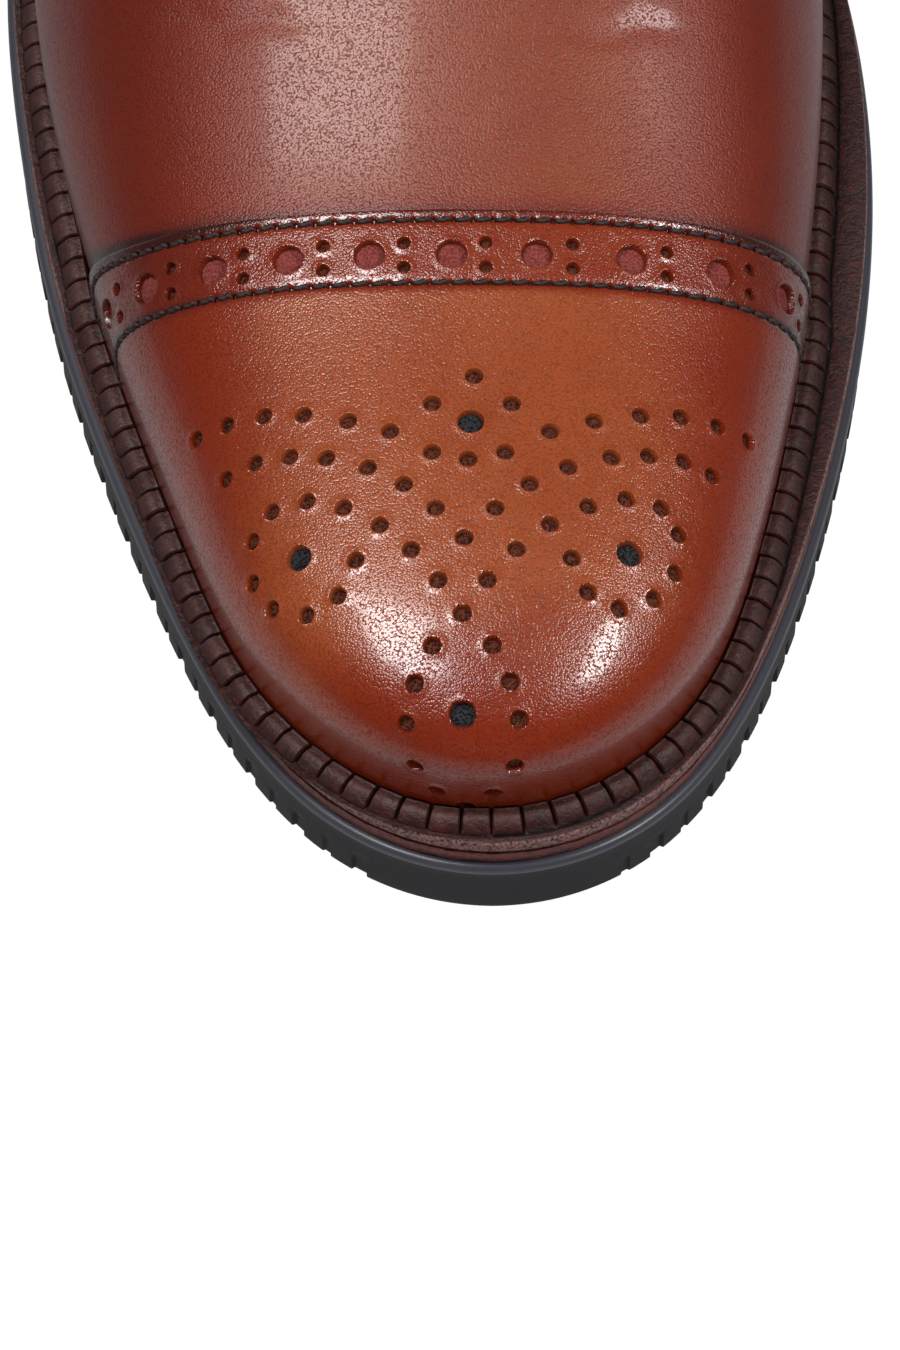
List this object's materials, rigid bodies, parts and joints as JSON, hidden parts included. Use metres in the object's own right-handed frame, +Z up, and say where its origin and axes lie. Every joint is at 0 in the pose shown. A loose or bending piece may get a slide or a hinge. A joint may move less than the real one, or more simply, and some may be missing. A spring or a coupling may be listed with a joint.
{
  "type": "shoe",
  "caption": "Right-foot leather cap-toe brogue shoe with a storm welt, a lugged rubber sole, a stacked heel and an open collar.",
  "frame": {"origin": "on the floor, below the middle of the sole's box", "axes": "+Z up from the floor, +Y from the toe to the heel, +X towards the wearer's inner side"},
  "size_m": [0.1092, 0.304, 0.0986],
  "materials": {
    "upper_leather": "burnished, semi-gloss",
    "edge_leather": "dark, waxed",
    "lining_leather": "matt",
    "rubber": "satin",
    "lace": "waxed cotton"
  },
  "bodies": {
    "root": {"outsole": "rubber", "heel_top_piece": "rubber", "heel_lift_1": "edge_leather", "heel_lift_2": "edge_leather", "heel_lift_3": "edge_leather", "midsole": "edge_leather", "welt": "edge_leather", "upper": "upper_leather", "insole": "lining_leather", "tongue": "upper_leather", "lace_bar_1": "lace", "lace_bar_2": "lace", "lace_bar_3": "lace", "lace_bar_4": "lace", "lace_bar_5": "lace"}
  },
  "joints": []
}
